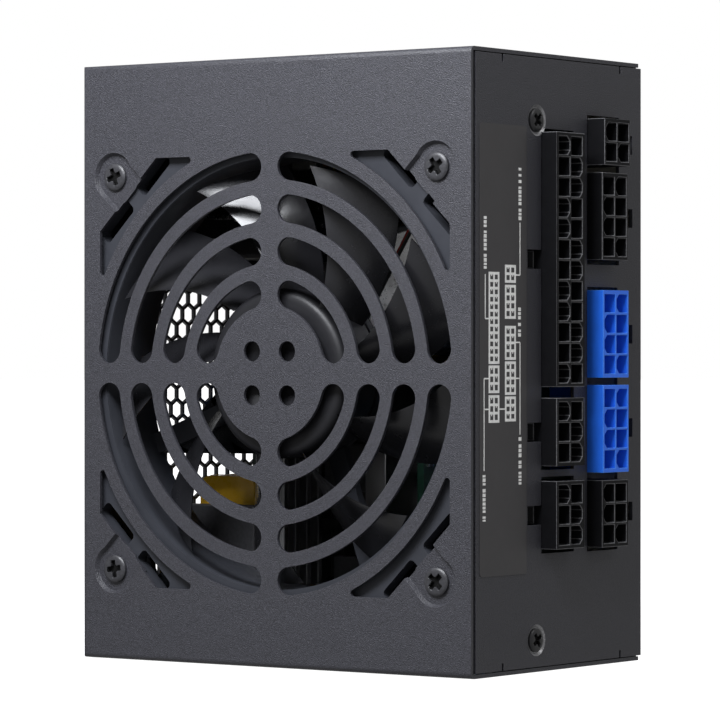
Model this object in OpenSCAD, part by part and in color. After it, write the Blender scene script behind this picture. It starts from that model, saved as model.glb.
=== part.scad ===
// Compact modular computer power supply, standing on one short end.
// The casing is 100 x 63.5 x 125 mm. The origin is the centre of its bottom end.
// The fan face looks along -Y, the socket panel along +X and the mains panel along -X.

/* [Casing] */
// Casing width, from mains panel to socket panel
case_x = 100; // [98:0.5:104]
// Casing depth, from fan face to back plate
case_y = 63.5; // [62:0.1:66]
// Casing height as it stands
case_z = 125; // [124:0.5:130]
// Thickness of the sheet steel
sheet = 0.8; // [0.6:0.05:1]
// Outside radius of the sheet's bends
bend_r = 1.2; // [1:0.1:1.4]
// Free gap between the cover's side walls and the inner shell
cover_gap = 0.2; // [0.1:0.05:0.4]

/* [Fan grille] */
// Height of the fan's axis
fan_z = 60.2; // [58:0.1:62]
// Radius of the first ring of slots, at its middle
slot_r0 = 16.8; // [16:0.1:18]
// Distance from one ring of slots to the next
slot_pitch = 8.6; // [8.4:0.1:8.7]
// Width of a slot
slot_w = 5.8; // [5:0.1:6]
// Number of rings of slots
slot_rings = 4; // [3:1:4]
// Width of the two cross bars
bar_w = 4.1; // [3.5:0.1:5]
// Depth of the dished pads round the fan screws
pad_depth = 1; // [0.9:0.05:1]

/* [Fan] */
// Side of the square fan frame
fan_side = 92; // [92:0.5:92]
// Depth of the fan frame
fan_depth = 15; // [14:0.5:15]
// Distance between neighbouring fan screws
fan_holes = 82.5; // [82.5:0.5:82.5]
// Number of fan blades
blade_count = 9; // [5:1:9]
// Radius of the hub
hub_r = 17.5; // [17:0.1:18]
// Radius at the blade tips
blade_tip_r = 43.2; // [42:0.1:43.4]

/* [Sockets] */
// Distance between neighbouring contacts along a socket
cell_pitch = 4.2; // [4.2:0.1:4.2]
// Size of one cell, across the socket
cell_w = 4.1; // [4:0.05:4.2]
// Size of one cell, along the socket
cell_h = 3.75; // [3.5:0.05:3.9]
// Distance between the two columns of cells
column_pitch = 4.6; // [4.55:0.05:4.7]
// Width of the sockets near the fan face
left_w = 10.4; // [10.2:0.1:10.6]
// Width of the sockets near the back plate
right_w = 9.8; // [9.6:0.1:9.9]
// How far the sockets near the fan face stand out of the panel
left_out = 3.6; // [3.2:0.1:4]
// How far the smallest socket stands out of the panel
small_out = 4.2; // [3.8:0.1:4.4]
// How far the blue sockets stand out of the panel
blue_out = 3.8; // [3.4:0.1:4.2]
// How far the other sockets near the back plate stand out
right_out = 3.6; // [3.2:0.1:4]
// Middle of the column of sockets near the fan face
left_y = -1.25; // [-1.3:0.05:-1.15]
// Middle of the column of sockets near the back plate
right_y = 15.55; // [15.5:0.05:15.7]

/* [Mains panel] */
// Middle of the mains inlet, across the panel
inlet_y = 17.2; // [16:0.1:17.4]
// Middle of the rocker switch, across the panel
switch_y = -4.5; // [-5:0.1:-4]
// Height of the inlet and of the switch
mains_z = 98.5; // [97:0.1:100]
// Distance between neighbouring honeycomb holes
hex_pitch = 4; // [3.9:0.05:4.2]
// Distance across the flats of a honeycomb hole
hex_flats = 3.4; // [3:0.05:3.5]

/* [Main board] */
// Height of the tallest part on the main board
tall_part = 34; // [30:1:34]
// Distance from the back plate to the main board
board_lift = 5.35; // [4:0.05:5.5]

/* [Hidden] */
$fn = 48;
EPS = 0.01;
x0 = -case_x / 2;
x1 = case_x / 2;
y0 = -case_y / 2;
y1 = case_y / 2;
face_in = y0 + sheet;
shell_z0 = sheet + cover_gap;
shell_z1 = case_z - sheet - cover_gap;
shell_y0 = y0 + 1.65;
shell_y1 = y1 - 0.1;
shell_bend = 0.6;
plate_in = shell_y1 - sheet;
rear_y0 = y0 + 2.35;
window_r = 48.3;
window_side = 44.9;
window_cut = 29.8;
tip_r = 0.72;
tip_z = sqrt(pow(window_r + tip_r, 2) - pow(window_side - tip_r, 2));
fan_front = face_in + pad_depth;
fan_back = fan_front + fan_depth;
fan_screw = fan_holes / 2;
fan_bore = 44.3;
hub_front = fan_front + 0.45;
hub_back = fan_back - 3.4;
shaft_r = 1;
shaft_gap = 0.05;
lug_in = 1.3;
lug_x = x1 - sheet - 0.5;
panel_screws = [[-8.2, 111.4], [-8.4, 6.4]];
rear_screws = [[-20, 100], [-20, 24]];
dimple = 0.5;
board_t = 1.6;
board_back = plate_in - board_lift;
board_y = board_back - board_t;
board_posts = [[-43.6, 7], [34, 7], [-43.6, 78], [33.6, 118], [-17.5, 118]];
socket_board_x = 39;
socket_back_x = socket_board_x + board_t;
floor_t = 1.4;
left_24_z = 83.3;
left_6_z = [48.4, 31.6];
right_4_z = 107.8;
right_8_z = 92.5;
right_blue_z = [68.3, 48.8];
right_6_z = 31.35;
// windows round the groups of sockets: from y, to y, from z, to z
socket_windows = [
    [left_y - 5.4, left_y + 6.7, 40.7, 109.8],
    [left_y - 5.4, left_y + 6.7, 23.8, 39.3],
    [right_y - 5.1, right_y + 7.15, 82.6, 113.3],
    [right_y - 5.1, right_y + 6.55, 23.6, 78]
];
mount_y = 25.75;
mount_z = [6, 119];
mount_r = 1.5;
rocker_x = x0 + 1;
rocker_tilt = 10;
inlet_in = 17.5;
inlet_flange = 2;
inlet_pins = [[-2, 7], [-2, -7], [2, 0]];
earth_x = -34;
earth_z = 117;
// places on the main board, x and z
line_filter_at = [-35.5, 68.5];
pfc_choke_at = [-1.5, 105];
transformer_at = [-31.6, 25];
standby_at = [-3.5, 17];
resonant_at = [-4.5, 40];
// wound rings: outer radius, inner radius and height
line_filter_ring = [8, 4.4, 9];
pfc_choke_ring = [12, 6.6, 11];
// wound E cores: width, depth, height and leg
transformer_e = [22, 14, 33, 4.5];
standby_e = [16, 8, 17, 3];
resonant_e = [16, 10, 19, 3.2];
core_lift = 1.5;
// steps of a blade along its span and across its chord
blade_rows = 6;
blade_cols = 6;
blue = [0.13, 0.34, 0.78];
black = [0.09, 0.09, 0.10];
steel = [0.16, 0.16, 0.18];
green = [0.05, 0.28, 0.16];
copper = [0.72, 0.38, 0.18];
yellow = [0.85, 0.62, 0.12];
alu = [0.7, 0.7, 0.72];
ferrite = [0.17, 0.17, 0.18];

// ---- helpers: places on the faces, with local z pointing outwards ----

module on_face(x, z) { translate([x, y0, z]) rotate([90, 0, 0]) children(); }
module on_panel(y, z) { translate([x1, y, z]) rotate([90, 0, 90]) children(); }
module on_rear(y, z) { translate([x0, y, z]) rotate([90, 0, -90]) children(); }
// a place on the main board, with local z pointing at the fan
module on_board(p) { translate([p[0], board_y, p[1]]) rotate([90, 0, 0]) children(); }
// a block given by its two corners
module span(a, b) { translate(a) cube(b - a); }
// a straight rod between two heights on the local z axis
module rod(r, za, zb) { translate([0, 0, za]) cylinder(r = r, h = zb - za); }
module ring(ro, ri, za, zb) {
    translate([0, 0, za]) rotate_extrude() translate([ri, 0]) square([ro - ri, zb - za]);
}
// rectangle with rounded corners, centred
module round_rect(w, h, r) {
    square([w - 2 * r, h], center = true);
    square([w, h - 2 * r], center = true);
    for (i = [-1, 1]) for (j = [-1, 1])
        translate([i * (w / 2 - r), j * (h / 2 - r)]) circle(r);
}
// pan head with a cross recess, its underside at z = 0
module cross_head(r, h) {
    difference() {
        rod(r, 0, h);
        for (a = [0, 90]) rotate([0, 0, a])
            translate([-r * 0.62, -r * 0.13, h - 0.55]) cube([r * 1.24, r * 0.26, 1]);
    }
}

// smooth route through hand-placed points, and a tube swept along it
function spline_at(p, i, t) =
    let (n = len(p) - 1, a = p[max(i - 1, 0)], b = p[i], c = p[min(i + 1, n)], d = p[min(i + 2, n)])
    0.5 * ((2 * b) + (c - a) * t + (2 * a - 5 * b + 4 * c - d) * t * t
        + (3 * b - a - 3 * c + d) * t * t * t);
function smooth(p, k) = concat(
    [for (i = [0 : len(p) - 2]) for (j = [0 : k - 1]) spline_at(p, i, j / k)], [p[len(p) - 1]]);
function unit(v) = v / norm(v);
module tube(route, r) {
    p = smooth(route, 3);
    n = len(p);
    s = 8;
    side = [0.31, 0.52, 0.79];
    pts = [for (i = [0 : n - 1])
        let (t = unit(p[min(i + 1, n - 1)] - p[max(i - 1, 0)]), u = unit(cross(t, side)), v = cross(t, u))
        for (k = [0 : s - 1]) p[i] + r * (cos(k * 360 / s) * u + sin(k * 360 / s) * v)];
    skin = [for (i = [0 : n - 2]) for (k = [0 : s - 1])
        let (a = i * s + k, b = i * s + (k + 1) % s)
        for (f = [[a + s, b, a], [a + s, b + s, b]]) f];
    polyhedron(points = pts, faces = concat([[for (k = [0 : s - 1]) k]], skin,
        [[for (k = [s - 1 : -1 : 0]) (n - 1) * s + k]]), convexity = 6);
}

// ---- casing ----

// cuts a quarter ring of a grille slot with full-round ends
module grille_slots() {
    for (k = [0 : slot_rings - 1]) {
        r = slot_r0 + k * slot_pitch;
        a = asin((bar_w / 2 + slot_w / 2) / r);
        for (q = [0 : 3]) rotate([0, 0, q * 90]) {
            rotate([0, 0, a]) rotate_extrude(angle = 90 - 2 * a)
                translate([r - slot_w / 2, -sheet - 1]) square([slot_w, sheet + 2]);
            for (b = [a, 90 - a]) rotate([0, 0, b]) translate([r, 0, 0]) rod(slot_w / 2, -sheet - 1, 1);
        }
    }
}
// the opening outside the last ring, between an arc and the cut-off corner
module corner_window() {
    linear_extrude(sheet + 2) {
        difference() {
            polygon([[tip_z, tip_z], [window_side, tip_z], [window_side, window_cut],
                [window_cut, window_side], [tip_z, window_side]]);
            circle(window_r, $fn = 96);
        }
        translate([window_side - tip_r, tip_z]) circle(tip_r);
        translate([tip_z, window_side - tip_r]) circle(tip_r);
    }
}
// dished pad round a fan screw: a cone and a straight tongue towards the window
module pad_shape(r, top, tongue, deep) {
    side = 0.2;
    translate([0, 0, -deep]) cylinder(r1 = r, r2 = top, h = deep);
    rotate([0, 0, -45]) translate([0, 0, -deep]) rotate([90, 0, 0])
        translate([0, deep, 0]) linear_extrude(tongue)
            polygon([[side - r, -deep], [r - side, -deep], [top - side, 0], [side - top, 0]]);
}
module cover_skin() {
    intersection() {
        translate([x0, 0, 0]) rotate([90, 0, 90]) linear_extrude(case_x) difference() {
            translate([0, case_z / 2]) {
                round_rect(case_y, case_z, bend_r);
                square([2 * bend_r, case_z], center = true);
                translate([0, -case_z / 2]) square([case_y / 2, case_z]);
            }
        }
        linear_extrude(case_z) difference() {
            union() {
                translate([x0 + 1.5, y0]) square([case_x - 1.5, case_y]);
                translate([x0, y0 + 1.5]) square([case_x, case_y - 1.5]);
                translate([x0 + 1.5, y0 + 1.5]) circle(1.5);
            }
            translate([x0 - 1, y1 - 1.5]) square([2.5, 2]);
            translate([x1 - 1.5, y1 - 1.5]) square([2.5, 2]);
        }
    }
}
module fan_cover() {
    color(steel) difference() {
        union() {
            difference() {
                cover_skin();
                span([x0 + sheet, face_in, sheet], [x1 + 1, y1 + 1, case_z - sheet]);
                span([x0 - 1, y0 + 2.25, sheet], [x0 + sheet + 1, y1 + 1, case_z - sheet]);
            }
            on_face(0, fan_z) for (q = [0 : 3]) rotate([0, 0, q * 90])
                translate([fan_screw, fan_screw, -sheet]) pad_shape(5.6, 5.9, 5.3, pad_depth);
            for (p = panel_screws)
                span([lug_x - sheet, face_in - EPS, p[1] - 2.1], [lug_x, p[0] + 2.9, p[1] + 2.1]);
            for (p = rear_screws)
                span([-lug_x, face_in - EPS, p[1] - 4], [-lug_x + sheet, p[0] + 4, p[1] + 4]);
        }
        on_face(0, fan_z) {
            grille_slots();
            for (q = [0 : 3]) rotate([0, 0, q * 90]) {
                translate([0, 0, -sheet - 1]) corner_window();
                translate([fan_screw, fan_screw, 0]) {
                    pad_shape(4.6, 5.1, 7, pad_depth);
                    rod(2, -3, 0);
                }
                translate([4.5, 4.5, 0]) rod(2.1, -3, 1);
            }
        }
        for (p = panel_screws) on_panel(p[0], p[1]) rod(lug_in, -3, -0.9);
        for (p = rear_screws) on_rear(p[0], p[1]) rod(lug_in, -3, -0.9);
    }
}

module honeycomb(ya, yb, za, zb) {
    row = hex_pitch * sqrt(3) / 2;
    for (j = [0 : floor((zb - za) / row)]) for (i = [0 : floor((yb - ya) / hex_pitch) - j % 2])
        translate([ya + (i + (j % 2) / 2) * hex_pitch, za + j * row])
            rotate(90) circle(hex_flats / sqrt(3), $fn = 6);
}
// the three upright walls: socket panel, back plate and mains panel
module shell_wall() {
    translate([0, 0, shell_z0]) linear_extrude(shell_z1 - shell_z0) difference() {
        union() {
            translate([x0, shell_y0]) square([case_x, shell_y1 - shell_y0 - shell_bend]);
            translate([x0 + shell_bend, shell_y0]) square([case_x - 2 * shell_bend, shell_y1 - shell_y0]);
            for (s = [-1, 1]) translate([s * (x1 - shell_bend), shell_y1 - shell_bend]) circle(shell_bend);
        }
        translate([x0 + sheet, shell_y0 - 1]) square([case_x - 2 * sheet, plate_in - shell_y0 + 1]);
        translate([x0 - 1, shell_y0 - 1]) square([3, 1 + rear_y0 - shell_y0]);
    }
}
// an opening for the latch of a plug, beside a socket
module notch(y, z) {
    on_panel(y, z) translate([0, 0, -sheet - 1])
        linear_extrude(sheet + 2) square([5.4, 3.9], center = true);
}
module panel_cutouts() {
    for (w = socket_windows) span([x1 - 3, w[0], w[2]], [x1 + 1, w[1], w[3]]);
    for (z = concat([left_24_z], left_6_z)) notch(left_y - 7.75, z);
    for (z = concat([right_4_z, right_8_z, right_6_z], right_blue_z)) notch(right_y + 9.7, z);
}
module base_shell() {
    color(steel) difference() {
        union() {
            shell_wall();
            for (z = [shell_z0, shell_z1 - sheet]) {
                span([x1 - 12, -20.25, z], [x1 - sheet + EPS, 22.75, z + sheet]);
                span([x0 + 14, plate_in - 6, z], [x1 - 16, plate_in + EPS, z + sheet]);
            }
            for (p = panel_screws) on_panel(p[0], p[1]) rod(3.6, -sheet - dimple, -sheet + EPS);
            for (p = rear_screws) on_rear(p[0], p[1]) rod(3.6, -sheet - dimple, -sheet + EPS);
            for (p = board_posts) translate([p[0], plate_in, p[1]]) rotate([90, 0, 0]) rod(3.6, -EPS, 0.3);
        }
        panel_cutouts();
        for (y = [-20.9, 22.75]) for (z = [shell_z0 - 1, shell_z1 - 1.5])
            span([x1 - 3, y, z], [x1 + 1, y + 0.65, z + 2.5]);
        for (p = panel_screws) on_panel(p[0], p[1]) {
            rod(1.6, -3, 1);
            translate([0, 0, -dimple]) cylinder(r1 = 2.6, r2 = 3.2, h = dimple + EPS);
        }
        for (p = rear_screws) on_rear(p[0], p[1]) {
            rod(1.6, -3, 1);
            translate([0, 0, -dimple]) cylinder(r1 = 2.6, r2 = 3.2, h = dimple + EPS);
        }
        for (y = [-mount_y, mount_y]) for (z = mount_z) on_rear(y, z) rod(mount_r, -2, 1);
        on_rear(inlet_y, mains_z) translate([-10, -13.6, -2]) cube([20, 27.2, 3]);
        on_rear(switch_y, mains_z) translate([-6.6, -9.6, -2]) cube([13.2, 19.2, 3]);
        on_rear(0, 0) translate([0, 0, -2]) linear_extrude(3) honeycomb(-28, 12, 10.5, 82);
        for (p = board_posts) translate([p[0], y1 + 1, p[1]]) rotate([90, 0, 0]) rod(1.35, 0, 3);
    }
}
module socket_map_label() {
    color([0.13, 0.13, 0.14]) on_panel(-20.5, 65) linear_extrude(0.1) round_rect(16.7, 90, 0.8);
}
module cover_screws() {
    color("dimgray") {
        for (p = panel_screws) on_panel(p[0], p[1]) translate([0, 0, -dimple]) case_screw();
        for (p = rear_screws) on_rear(p[0], p[1]) translate([0, 0, -dimple]) case_screw();
    }
}
module case_screw() {
    cross_head(2.4, 0.8);
    rod(lug_in - 0.02, -2.2, 0);
}
module insulation_sheet() {
    color("ivory") difference() {
        union() {
            span([-48.4, plate_in - 0.8, 2.2], [47.6, plate_in - 0.5, 82.6]);
            span([-22.6, plate_in - 0.8, 82], [47.6, plate_in - 0.5, 122.6]);
        }
        for (p = board_posts) translate([p[0], y1, p[1]]) rotate([90, 0, 0]) rod(3.4, 0, 5);
    }
}
module board_standoffs() {
    color("goldenrod") for (p = board_posts) translate([p[0], plate_in - 0.3, p[1]]) rotate([90, 0, 0])
        difference() {
            rotate([0, 0, 30]) cylinder(r = 3.1, h = board_lift - 0.3, $fn = 6);
            rod(1.25, -1, board_lift);
        }
}
module board_screws() {
    color("silver") for (p = board_posts) on_board(p) {
        cross_head(2.6, 1.6);
        rod(1.2, -4.5, 0);
    }
}

// ---- fan ----

module at_fan() { translate([0, 0, fan_z]) rotate([90, 0, 0]) children(); }
// the at_fan axis runs along -Y, so a depth y is the local height -y
module fan_frame() {
    back = -fan_back;
    front = -fan_front;
    color(black) at_fan() difference() {
        union() {
            for (z = [back, front - 3]) difference() {
                translate([0, 0, z]) linear_extrude(3) round_rect(fan_side, fan_side, 4.5);
                rod(fan_bore, z - 1, z + 4);
            }
            ring(fan_side / 2 - 0.05, fan_bore, back, front);
            for (a = [20, 110, 200, 290]) rotate([0, 0, a])
                span([16, -2.2, back], [fan_bore + 0.4, 2.2, back + 2]);
            rod(17, back, back + 1.8);
            rod(3.6, back, -hub_front - 4);
        }
        for (q = [0 : 3]) rotate([0, 0, q * 90]) {
            translate([fan_screw, fan_screw, 0]) rod(2.1, back - 1, front + 1);
            for (s = [-1, 1]) rotate([0, 0, 45]) translate([51.9, s * 6.9, front - 3.5])
                linear_extrude(4) round_rect(3.2, 10.2, 1);
        }
        rod(2.5, back + 0.8, front);
        translate([8, 7, 0]) rod(1.3, back - 1, back + 3);
    }
}
module fan_screws() {
    color("dimgray") for (q = [0 : 3]) on_face(0, fan_z) rotate([0, 0, q * 90])
        translate([fan_screw, fan_screw, -pad_depth]) {
            cross_head(2.85, 0.95);
            rod(1.9, -10, 0);
        }
}
module fan_bearing() {
    color("goldenrod") at_fan() ring(2.5, shaft_r + shaft_gap, -fan_back + 0.8, -hub_front - 4.2);
}
module fan_stator() {
    z = -fan_back + 4.2;
    color("gray") at_fan() difference() {
        translate([0, 0, z]) linear_extrude(5) {
            circle(6);
            for (a = [0 : 90 : 270]) rotate(a) {
                translate([4, -1.6]) square([7, 3.2]);
                intersection() {
                    difference() {
                        circle(12.6);
                        circle(10.6);
                    }
                    polygon([[0, 0], [20, -14], [20, 14]]);
                }
            }
        }
        rod(3.6, z - 1, z + 6);
    }
}
module fan_coils() {
    z = -fan_back + 4.2;
    color(copper) at_fan() for (a = [0 : 90 : 270]) rotate([0, 0, a]) difference() {
        span([6.4, -2.9, z - 1], [9.9, 2.9, z + 6]);
        span([6, -1.6, z], [11, 1.6, z + 5]);
    }
}
module fan_driver_board() {
    color(green) at_fan() ring(14, 3.7, -fan_back + 1.8, -fan_back + 2.7);
}
// one blade: a thin cambered sheet between two swept edges
function blade_point(i, j, s) =
    let (r = 17.2 + (blade_tip_r - 17.2) * i / blade_rows, c = j / blade_cols,
        lead = 58 + (r - 23.3) * 1.05, chord = 18.2 + (r - 17) * 0.19,
        a = lead - c * chord, rise = 9.7 - (r - 17) * 0.02,
        z = -hub_front - 0.6 - rise * (c * 0.75 + c * c * 0.25) * 0.98,
        t = 0.25 + 0.85 * sqrt(c + 0.02) * (1 - c))
    [r * cos(a), r * sin(a), z + s * t / 2];
module blade() {
    m = blade_cols + 1;
    n = (blade_rows + 1) * m;
    pts = [for (s = [1, -1]) for (i = [0 : blade_rows]) for (j = [0 : blade_cols])
        blade_point(i, j, s)];
    top = [for (i = [0 : blade_rows - 1]) for (j = [0 : blade_cols - 1])
        let (a = i * m + j, b = a + m)
        for (f = [[a, a + 1, b + 1], [a, b + 1, b]]) f];
    low = [for (f = top) [f[0] + n, f[2] + n, f[1] + n]];
    rim = concat([for (j = [0 : blade_cols]) j], [for (i = [1 : blade_rows]) i * m + blade_cols],
        [for (j = [blade_cols - 1 : -1 : 0]) blade_rows * m + j],
        [for (i = [blade_rows - 1 : -1 : 1]) i * m]);
    edge = [for (k = [0 : len(rim) - 1]) let (a = rim[k], b = rim[(k + 1) % len(rim)])
        for (f = [[a, a + n, b + n], [a, b + n, b]]) f];
    polyhedron(points = pts, faces = [for (f = concat(top, low, edge)) [f[2], f[1], f[0]]], convexity = 6);
}
module fan_rotor() {
    color(black) at_fan() {
        difference() {
            union() {
                rotate_extrude() difference() {
                    union() {
                        translate([0, -hub_back]) square([hub_r, hub_back - hub_front - 2]);
                        translate([0, -hub_front - 2.01]) square([hub_r - 2, 2.01]);
                        translate([hub_r - 2, -hub_front - 2]) intersection() {
                            circle(2);
                            square(2.1);
                        }
                    }
                    translate([-1, -hub_back - 1]) square([hub_r - 0.3, hub_back - hub_front - 0.4]);
                }
                rod(3, -hub_front - 3.6, -hub_front - 1);
                for (b = [0 : blade_count - 1]) rotate([0, 0, b * 360 / blade_count]) blade();
            }
            rod(shaft_r, -hub_front - 4, -hub_front - 0.8);
        }
    }
}
module rotor_yoke() {
    color("dimgray") at_fan() ring(hub_r - 1.3, hub_r - 2, -hub_back, -hub_front - 1.6);
}
module rotor_magnet() {
    color([0.2, 0.2, 0.2]) at_fan() ring(hub_r - 2, 13.6, -hub_back + 0.4, -hub_front - 2.4);
}
module rotor_shaft() { color("silver") at_fan() rod(shaft_r, -fan_back + 1.1, -hub_front - 0.8); }
fan_route = [[8, fan_back - 1.7, fan_z + 7], [8, fan_back - 0.4, fan_z + 7], [10, fan_back + 0.9, 69],
    [18, fan_back + 1, 82], [27, fan_back + 1, 96], [33, -11, 106], [35, -3, 109], [32, 6, 110],
    [30, 12, 110], [30, board_y - 6, 110]];
module fan_lead() { color([0.1, 0.1, 0.1]) tube(fan_route, 0.8); }
module fan_plug() {
    color("ivory") on_board([30, 110]) difference() {
        translate([0, 0, 3]) cube([7.4, 5.6, 6], center = true);
        for (x = [-1.3, 1.3]) translate([x, 2, 3.5]) cube([0.9, 2, 4], center = true);
    }
}

// ---- mains side ----

module inlet_outline(w, h, cut) {
    polygon([[-w / 2, -h / 2 + cut], [-w / 2 + cut, -h / 2], [w / 2, -h / 2], [w / 2, h / 2],
        [-w / 2 + cut, h / 2], [-w / 2, h / 2 - cut]]);
}
module ac_inlet() {
    color(black) on_rear(inlet_y, mains_z) difference() {
        union() {
            linear_extrude(inlet_flange) round_rect(23.6, 31, 2);
            translate([0, 0, -inlet_in - 1.6]) linear_extrude(inlet_in + 1.6) round_rect(19.8, 27, 1);
        }
        translate([0, 0, -inlet_in + 1]) linear_extrude(inlet_in + 3) inlet_outline(16.4, 24.6, 4.4);
        for (p = inlet_pins) translate([p[0], p[1], -inlet_in - 0.5]) cube([4, 2, 6], center = true);
    }
}
module inlet_contacts() {
    color("silver") on_rear(inlet_y, mains_z) for (p = inlet_pins) translate([p[0], p[1], 0])
        span([-2, -1, -inlet_in - 8], [2, 1, -2.5]);
}
module switch_housing() {
    color(black) on_rear(switch_y, mains_z) difference() {
        union() {
            linear_extrude(2) round_rect(15, 21, 1.2);
            translate([0, 0, -13]) linear_extrude(13) round_rect(13, 19, 0.8);
        }
        translate([0, 0, -12]) linear_extrude(15) square([10.8, 17.2], center = true);
        translate([0, 0, -1]) rotate([0, 90, 0]) rod(1.06, -6.3, 6.3);
    }
}
// the rocker's rest position is pressed in at the top
module switch_rocker() {
    color([0.05, 0.05, 0.05]) on_rear(switch_y, mains_z) translate([0, 0, x0 - rocker_x])
        rotate([rocker_tilt, 0, 0]) rotate([0, 90, 0]) {
            translate([0, 0, -5.2]) linear_extrude(10.4) intersection() {
                circle(8.35);
                polygon([[-2.6, 0], [-4, 9], [5, 9], [6, 5], [6, -5], [5, -9], [-4, -9]]);
            }
            rod(1, -6.1, 6.1);
        }
}
module switch_terminals() {
    color("silver") on_rear(switch_y, mains_z) for (z = [-5, 5])
        span([-2.4, z - 0.4, -20], [2.4, z + 0.4, -13]);
}
mains_routes = [
    [[-24.3, 19.2, 105.5], [-23.2, 19.2, 105.6], [-22.6, 17, 108], [-23, 12, 110], [-24, 5, 110],
        [-26, -2, 106.5], [-28.6, -4.5, 103.7], [-29.8, -4.5, 103.5]],
    [[-29.8, -4.5, 93.5], [-28.6, -4.5, 93.4], [-26, -4.2, 92.2], [-24, 0, 89], [-24.6, 10, 84],
        [-25.5, 18, 79.5], [-25.5, 22.4, 78.1], [-25.5, 23.75, 78]],
    [[-24.3, 19.2, 91.5], [-23.3, 19.2, 91.4], [-22.5, 19.6, 89.5], [-22.3, 20.5, 85], [-22, 21, 81],
        [-21.5, 22.3, 78.2], [-21.5, 23.75, 77.9]]
];
module mains_leads() { color([0.35, 0.2, 0.12]) for (p = mains_routes) tube(p, 0.95); }
earth_route = [[-24.3, 15.2, 98.5], [-23.3, 15.2, 98.6], [-22.6, 17, 99.6], [-22.9, 21.5, 101.5],
    [-24.2, 25, 107], [-25.4, 27.4, 112.5], [-26, 28.8, 115.8], [-27.35, 29.3, 117]];
module earth_lead() {
    color([0.5, 0.6, 0.1]) {
        tube(earth_route, 0.9);
        translate([earth_x, plate_in, earth_z]) rotate([90, 0, 0]) difference() {
            union() {
                rod(3, 0, 0.6);
                translate([2.8, 0, 1.3]) rotate([0, 90, 0]) rod(1.2, 0, 3.7);
            }
            rod(1.55, -1, 3);
        }
    }
}
module earth_screw() {
    color("silver") translate([earth_x, plate_in - 0.6, earth_z]) rotate([90, 0, 0]) {
        cross_head(2.7, 1.8);
        rod(1.5, -0.6, 0);
    }
}

// ---- main board and what stands on it ----

module main_board() {
    color(green) difference() {
        union() {
            span([-47, board_y, 3], [38, board_back, 82]);
            span([-22.5, board_y, 82 - EPS], [38, board_back, 122]);
        }
        for (p = board_posts) translate([p[0], y1, p[1]]) rotate([90, 0, 0]) rod(1.25, 0, 20);
    }
}
// a ring core that lies above the board, and the wire wound on it over some arcs
module ring_core(size) { ring(size[0], size[1], core_lift, size[2] + core_lift); }
module ring_winding(size, wire, arcs) {
    for (a = arcs) rotate([0, 0, a[0]]) rotate_extrude(angle = a[1]) difference() {
        translate([size[1] - wire, core_lift - wire])
            square([size[0] - size[1] + 2 * wire, size[2] + 2 * wire]);
        translate([size[1], core_lift]) square([size[0] - size[1], size[2]]);
    }
}
// a ferrite core of two E halves round a bobbin
function e_gap(size) = (size[0] - 2 * size[3]) / 4;
module e_core(size) {
    leg = size[3];
    gap = e_gap(size);
    translate([0, size[1] / 2, 0]) rotate([90, 0, 0]) linear_extrude(size[1]) difference() {
        translate([-size[0] / 2, 1]) square([size[0], size[2]]);
        for (s = [-1, 1])
            translate([s * (leg + gap) - gap, 1 + leg]) square([2 * gap, size[2] - 2 * leg]);
    }
}
module e_winding(size, wide) {
    leg = size[3];
    translate([0, 0, 1 + leg + 0.5]) difference() {
        linear_extrude(size[2] - 2 * leg - 1) round_rect(2 * (leg + e_gap(size)) - 0.8, wide, 2.5);
        translate([-leg, -size[1] / 2, -1]) cube([2 * leg, size[1], size[2]]);
    }
}
module line_filter_core() { color(ferrite) on_board(line_filter_at) ring_core(line_filter_ring); }
module line_filter_winding() {
    color(copper) on_board(line_filter_at) ring_winding(line_filter_ring, 1.1, [[20, 140], [200, 140]]);
}
module x_capacitors() {
    color([0.75, 0.55, 0.15]) for (p = [[-3, 71.5, 18], [-3, 60.5, 15]]) on_board(p)
        linear_extrude(p[2]) round_rect(18, 8.6, 0.8);
}
module y_capacitors() {
    color([0.15, 0.35, 0.65]) for (p = [[-14.5, 86], [-14.5, 92], [27, 103.5]]) on_board(p)
        translate([0, 1.4, 5.2]) rotate([90, 0, 0]) rod(4, 0, 2.8);
}
module bridge_rectifier() {
    color(black) on_board([-4, 80.8]) difference() {
        translate([0, 0, 11]) cube([17, 4, 18], center = true);
        translate([0, 3, 15]) rotate([90, 0, 0]) rod(1.6, 0, 6);
    }
}
module heatsink(length, height, fins, out) {
    // upright plate with fins, standing on the board along local y
    rotate([90, 0, 0]) translate([0, 0, -length / 2]) linear_extrude(length) {
        translate([-1.2, 0.5]) square([2.4, height - 0.5]);
        for (i = [0 : fins - 1]) translate([out > 0 ? 1.1 : -1.1 - abs(out), height - 1.4 - i * 4])
            square([abs(out), 1.4]);
    }
}
module primary_heatsink() { color(alu) on_board([-18.6, 38]) heatsink(46, tall_part, 4, 5); }
module to220(side) {
    // package on edge against a plate whose face is at local x = 0
    translate([side * 2.3, 0, 8]) cube([4.6, 10, 9], center = true);
    translate([side * 0.65, 0, 15]) cube([1.3, 10, 5], center = true);
    for (y = [-2.5, 0, 2.5]) translate([side * 2.3, y, 1.75]) cube([0.6, 0.8, 3.5], center = true);
}
module power_transistors() {
    color(black) for (z = [21, 34, 47]) on_board([-17.4, z]) to220(1);
}
module pfc_choke_core() { color(ferrite) on_board(pfc_choke_at) ring_core(pfc_choke_ring); }
module pfc_choke_winding() {
    color(copper) on_board(pfc_choke_at) ring_winding(pfc_choke_ring, 1.3, [[15, 330]]);
}
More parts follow.
